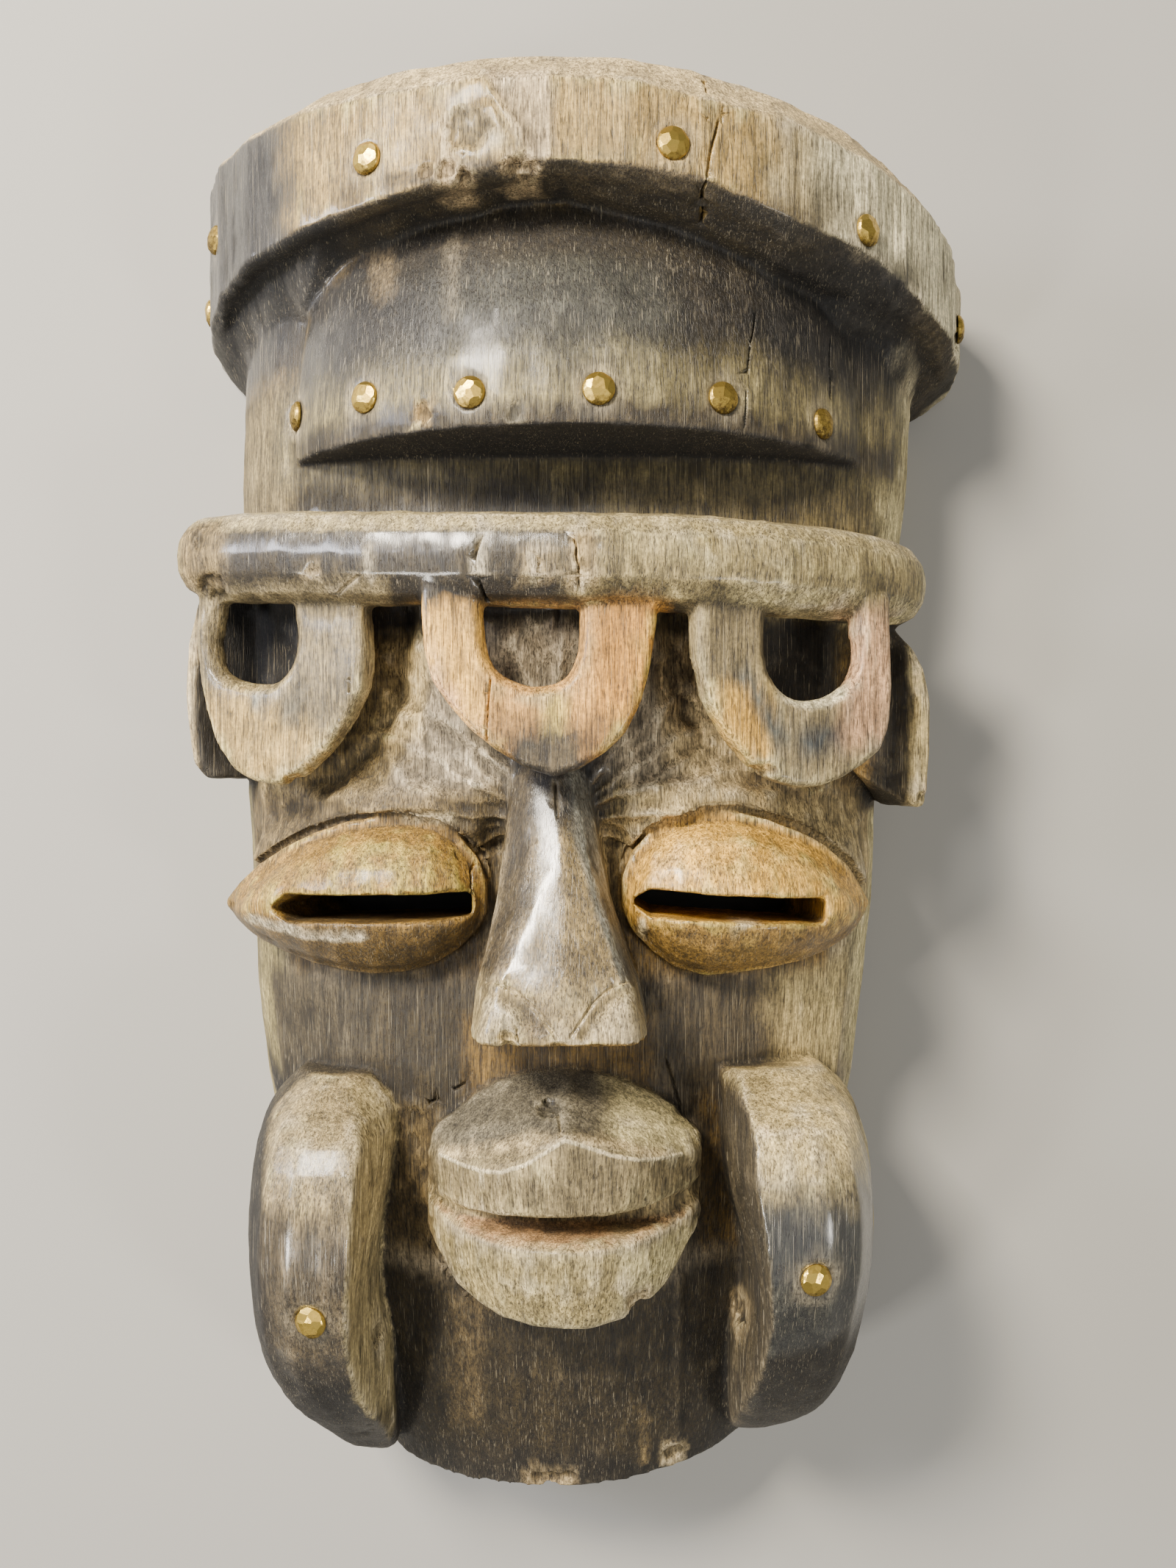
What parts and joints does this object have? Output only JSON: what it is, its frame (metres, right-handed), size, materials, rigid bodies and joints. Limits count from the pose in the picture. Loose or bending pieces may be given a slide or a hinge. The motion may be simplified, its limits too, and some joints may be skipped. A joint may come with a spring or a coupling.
{
  "type": "carved wooden mask",
  "caption": "Carved wooden face mask with an arched brim, a brow bar with hanging loops, slit eyes, cheek crescents and brass tacks, hollow behind.",
  "frame": {"origin": "middle of the mask's outline on the flat rim of its back, the plane it lies on", "axes": "+Z out of the face, +Y to the top of the head, +X to the viewer's right in the front view"},
  "size_m": [0.2682, 0.4408, 0.1245],
  "materials": {
    "carved_wood": "worn grey-brown patina, polished on the high parts",
    "brass": "hammered, dulled"
  },
  "bodies": {
    "root": {"mask_body": "carved_wood", "brim_tack_1": "brass", "brim_tack_2": "brass", "brim_tack_3": "brass", "brim_tack_4": "brass", "brim_tack_5": "brass", "brim_tack_6": "brass", "ledge_tack_1": "brass", "ledge_tack_2": "brass", "ledge_tack_3": "brass", "ledge_tack_4": "brass", "ledge_tack_5": "brass", "ledge_tack_6": "brass", "left_cheek_tack": "brass", "right_cheek_tack": "brass"}
  },
  "joints": []
}
